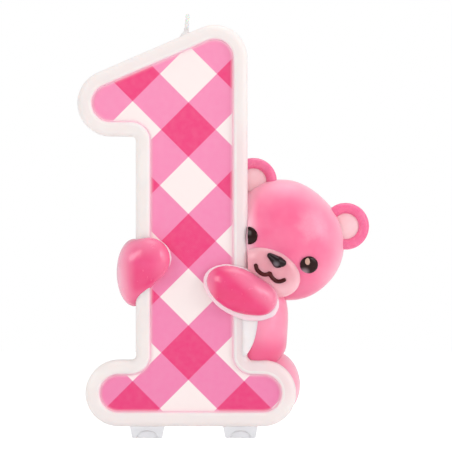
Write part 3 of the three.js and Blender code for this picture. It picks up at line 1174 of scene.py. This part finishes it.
def makeLining(name, place):
    centre = onHead(*place)
    radius = bear["liningRadius"]
    front = centre - Vector((0, earMaker["liningForward"], 0))
    pad = addLump(front, (radius, earMaker["liningDeep"], radius))
    pad.name = name
    return smoothShade(pad)


for side, place in (("left", bear["earLeft"]), ("right", bear["earRight"])):
    ear = makeEar("ear_" + side, place)
    finishPiece(ear, "candle", earWax, "pink_wax", "bear_ear_" + side)
    lining = makeLining("inner_ear_" + side, place)
    finishPiece(lining, "candle", liningWax, "pale_pink_wax", "ear_lining_" + side)


print("face")


def makeEye(name, across):
    up = bear["eyeLine"]
    radius = bear["eyeRadius"]
    facing = headFacing(across, up)
    broad = radius / abs(facing.y)  # wider, so that it looks round from in front
    place = onHead(across, frontOfHead(across, up), up)
    eye = addLump(place, (broad, bear["eyeProud"], radius), bear["tilt"], 4, facing)
    eye.name = name
    return trimLeft(eye, sideOfStem)


glintMaker = {
    "left": 0.66 * mm,
    "up": 0.55 * mm,
    "lift": 0.42 * mm,
    "radii": (0.6 * mm, 0.2 * mm, 0.72 * mm),
    "turn": 0.5,
}


def makeGlint(name, eyeAcross):
    across = eyeAcross - glintMaker["left"]
    up = bear["eyeLine"] + glintMaker["up"]
    facing = headFacing(across, up)
    lift = glintMaker["lift"]
    front = frontOfHead(across, up)
    place = onHead(across + facing.x * lift, front + facing.y * lift, up + facing.z * lift)
    glint = addLump(place, glintMaker["radii"], bear["tilt"] - glintMaker["turn"], 3, facing)
    glint.name = name
    return trimLeft(glint, sideOfStem)


peach, peachTree, peachShader = startMaterial("peachPaint")
peachSkin = placeSkin(peachTree, peachShader, {"rough": 0.2, "bump": 0.1, "pits": 0.0})
peachTone = mixColour(peachTree, peachSkin.outputs["Cloud"], paint(188, 140, 124), paint(204, 160, 144))
peachTree.links.new(peachTone, peachShader.inputs["Base Color"])

for side, across in (("left", bear["eyeLeft"]), ("right", bear["eyeRight"])):
    # painted reflection: a pale grey patch at each eye's lower left
    low = bear["eyeLine"] - 1.5 * mm
    eyeReflectionSpot = onHead(across - 0.35 * mm, frontOfHead(across, low), low)
    eyePaint = makeGloss("eyePaint_" + side, paint(38, 8, 8), paint(196, 172, 180), eyeReflectionSpot, 1.4 * mm)
    finishPiece(makeEye("eye_" + side, across), "candle", eyePaint, "dark_paint", "bear_eye_" + side)
    finishPiece(makeGlint("glint_" + side, across), "candle", peach, "peach_paint", "eye_glint_" + side)

nose = {
    "corners": [(-1.38, -3.75, 0.56), (1.6, -3.95, 0.74), (0.66, -4.22, 1.22)],  # across, up, round
    "proud": 0.6 * mm,
    "dome": (0.5, -4.2, 1.15, 1.2),  # across, up, round, proud
}


def makeNose():
    buds = []
    for across, up, radius in nose["corners"]:
        a, b, r = across * mm, up * mm, radius * mm
        centre = onHead(a, frontOfMuzzle(a, b) - 0.02 * mm, b)
        buds.append(addLump(centre, (r, nose["proud"], r), bear["tilt"], 3))
    a, b, r, proud = [size * mm for size in nose["dome"]]
    buds.append(addLump(onHead(a, frontOfMuzzle(a, b), b), (r, proud, r), bear["tilt"], 3))
    shape = joinAll(buds, "nose")
    openEdit(shape)
    bpy.ops.mesh.select_all(action="SELECT")
    bpy.ops.mesh.convex_hull()
    closeEdit()
    return meltTogether(shape, 0.06 * mm, 12)


# painted highlight: a grey spot low on the nose
noseHighlightSpot = onHead(0.5 * mm, frontOfMuzzle(0.5 * mm, -4.8 * mm) - 0.9 * mm, -4.8 * mm)
nosePaint = makeGloss("nosePaint", paint(30, 12, 16), paint(124, 116, 122), noseHighlightSpot, 1.0 * mm)
finishPiece(makeNose(), "candle", nosePaint, "dark_paint", "bear_nose")

mouthLine = [
    (-3.0, -6.8), (-2.5, -7.35), (-1.8, -7.65), (-0.8, -7.7), (-0.1, -7.3),
    (0.2, -7.0), (0.6, -7.3), (1.3, -7.65), (2.2, -7.75), (2.9, -7.4), (3.35, -6.9),
]
mouthMaker = {"halfThick": 0.43 * mm, "proud": 0.08 * mm}


def makeMouth():
    clearSelection()
    bpy.ops.curve.primitive_nurbs_path_add(location=(0, 0, 0))
    line = bpy.context.object
    line.name = "mouth"
    curve = line.data
    curve.splines.clear()
    spline = curve.splines.new("BEZIER")
    spline.bezier_points.add(len(mouthLine) - 1)
    for point, (across, up) in zip(spline.bezier_points, mouthLine):
        a, b = across * mm, up * mm
        point.co = onHead(a, frontOfMuzzle(a, b) - mouthMaker["proud"], b)
        point.handle_left_type = "AUTO"
        point.handle_right_type = "AUTO"
    curve.dimensions = "3D"
    curve.bevel_depth = mouthMaker["halfThick"]
    curve.bevel_resolution = 4
    curve.resolution_u = 10
    curve.use_fill_caps = True
    pick(line)
    bpy.ops.object.convert(target="MESH")
    line = bpy.context.object
    ends = []
    for across, up in (mouthLine[0], mouthLine[-1]):
        a, b = across * mm, up * mm
        place = onHead(a, frontOfMuzzle(a, b) - mouthMaker["proud"], b)
        ends.append(addLump(place, (mouthMaker["halfThick"],) * 3, detail=3))
    return meltTogether(joinAll([line, *ends], "mouth"), 0.08 * mm, 4)


mouthSpot = onHead(0, frontOfMuzzle(0, -7 * mm), -7 * mm)
mouthPaint = makeGloss("mouthPaint", paint(66, 12, 14), paint(84, 22, 24), mouthSpot, 3 * mm)
finishPiece(makeMouth(), "candle", mouthPaint, "dark_paint", "bear_mouth")


print("limbs")
limbs = {
    "front_arm": [
        (9.4, -6.0, 27.3, 7.0, 3.2, 4.4, 27),
        (12.9, -5.0, 25.9, 4.7, 3.3, 4.0, 27),
    ],
    "front_skirt": [
        (9.9, -5.65, 26.75, 8.45, 1.1, 5.15, 27),
    ],
    "back_skirt": [
        (-8.0, -4.5, 33.7, 4.2, 1.1, 4.2, 0),
    ],
    "back_arm": [
        (-8.5, -6.0, 33.4, 4.3, 2.9, 4.5, 0),
        (-10.4, -4.5, 32.5, 4.5, 4.0, 5.1, 0),
        (-11.5, -1.9, 30.8, 3.6, 5.0, 6.9, 0),
        (-11.0, 2.8, 30.5, 3.7, 5.0, 6.2, 0),
        (-8.0, 5.6, 30.2, 5.0, 3.8, 5.8, 0),
        (-1.0, 6.8, 29.4, 6.0, 3.1, 5.5, 0),
        (10.5, 5.9, 27.4, 6.5, 3.9, 5.5, 0),
    ],
    "torso": [
        (15.0, 1.2, 21.8, 4.4, 7.2, 8.0, 0),
        (14.0, 0.9, 16.6, 5.1, 6.6, 4.4, 0),
        (13.2, 0.9, 14.4, 4.6, 6.0, 3.6, 0),
    ],
    "near_leg": [
        (16.6, 3.3, 8.5, 5.2, 6.3, 6.6, -6),
    ],
    "far_leg": [
        (8.6, 7.0, 7.4, 4.9, 3.4, 6.9, 0),
    ],
}

for name, material, slotName, node in (
    ("front_arm", frontPawWax, "deep_pink_wax", "bear_arm_front"),
    ("front_skirt", skirtWax, "pale_pink_wax", None),
    ("back_skirt", skirtWax, "pale_pink_wax", None),
    ("back_arm", pawWax, "deep_pink_wax", "bear_arm_back"),
    ("torso", bodyWax, "pink_wax", "bear_torso"),
    ("near_leg", legWax, "pink_wax", "bear_leg_near"),
    ("far_leg", legWax, "pink_wax", "bear_leg_far"),
):
    limb = mergeLumps(name, limbs[name])
    finishPiece(limb, "candle", material, slotName, *([node] if node else []))


print("stage")
cadLow, cadHigh = cadBox
middle = (cadLow + cadHigh) / 2
tallness = cadHigh.z - cadLow.z
studio = {
    "framing": 1.063,
    "lens": 600.0,
    "sensor": 36.0,
    "aimShift": 0.5 * mm,
    "floor": 3.0,
    "floorDrop": 8.0 * mm,  # the feet at full reach stand on it
    "floorGlow": 0.5,
    "floorGlowThrough": 0.15,
}


def makeCamera():
    wideView = studio["framing"] * tallness
    away = wideView * studio["lens"] / studio["sensor"]
    place = (middle.x + studio["aimShift"], frontFace - away, middle.z)
    clearSelection()
    bpy.ops.object.camera_add(location=place, rotation=(math.pi / 2, 0, 0))
    camera = bpy.context.object
    camera.data.lens = studio["lens"]
    camera.data.sensor_width = studio["sensor"]
    camera.data.clip_start = 0.01
    camera.data.clip_end = 10.0
    bpy.context.scene.camera = camera


def addSoftbox(name, place, size, power):
    clearSelection()
    spot = Vector(place)
    aim = (Vector((middle.x, 0, middle.z)) - spot).to_track_quat("-Z", "Y").to_euler()
    bpy.ops.object.light_add(type="AREA", location=spot, rotation=aim)
    lamp = bpy.context.object
    lamp.name = name
    lamp.data.shape = "RECTANGLE"
    lamp.data.size, lamp.data.size_y = size
    lamp.data.energy = power
    return lamp


def makeFloor():
    clearSelection()
    ground = cadLow.z - studio["floorDrop"]
    bpy.ops.mesh.primitive_plane_add(size=studio["floor"], location=(middle.x, 0, ground))
    floor = bpy.context.object
    floor.name = "floor"
    material, tree, shader = startMaterial("studioFloor")
    place = addNode(tree, "ShaderNodeTexCoord").outputs["Object"]
    tone = mixColour(tree, noiseNode(tree, place, 6.0), paint(250, 250, 250), paint(253, 253, 253))
    tree.links.new(tone, shader.inputs["Base Color"])
    shader.inputs["Roughness"].default_value = 0.9
    shader.inputs["Emission Color"].default_value = (1, 1, 1, 1)
    path = addNode(tree, "ShaderNodeLightPath")
    # white as seen, and a little darker through the feet, so that their edges show
    seen = mathNode(tree, "MULTIPLY", path.outputs["Is Camera Ray"], studio["floorGlow"])
    through = mathNode(tree, "MULTIPLY", path.outputs["Is Transmission Ray"], studio["floorGlowThrough"])
    tree.links.new(mathNode(tree, "ADD", seen, through), shader.inputs["Emission Strength"])
    floor.data.materials.append(material)


def makeWorld():
    world = bpy.data.worlds.new("studio")
    bpy.context.scene.world = world
    world.use_nodes = True
    tree = world.node_tree
    background = tree.nodes["Background"]
    background.inputs["Color"].default_value = (1, 1, 1, 1)
    path = addNode(tree, "ShaderNodeLightPath")
    direct = mathNode(tree, "MAXIMUM", path.outputs["Is Camera Ray"], path.outputs["Is Transmission Ray"])
    seen = mapRange(tree, direct, 0, 1, 0.66, 1.0)
    tree.links.new(seen, background.inputs["Strength"])


makeCamera()
makeFloor()
makeWorld()
addSoftbox("left_softbox", (-0.34, -0.34, 0.22), (0.18, 0.2), 0.5)
addSoftbox("spark_softbox", (0.4, -0.3, 0.19), (0.12, 0.16), 0.2)
addSoftbox("right_softbox", (0.46, -0.20, 0.16), (0.3, 0.36), 0.6)
addSoftbox("top_softbox", (0.06, 0.02, 0.52), (0.34, 0.3), 0.7)
bpy.context.scene.view_settings.view_transform = "Standard"
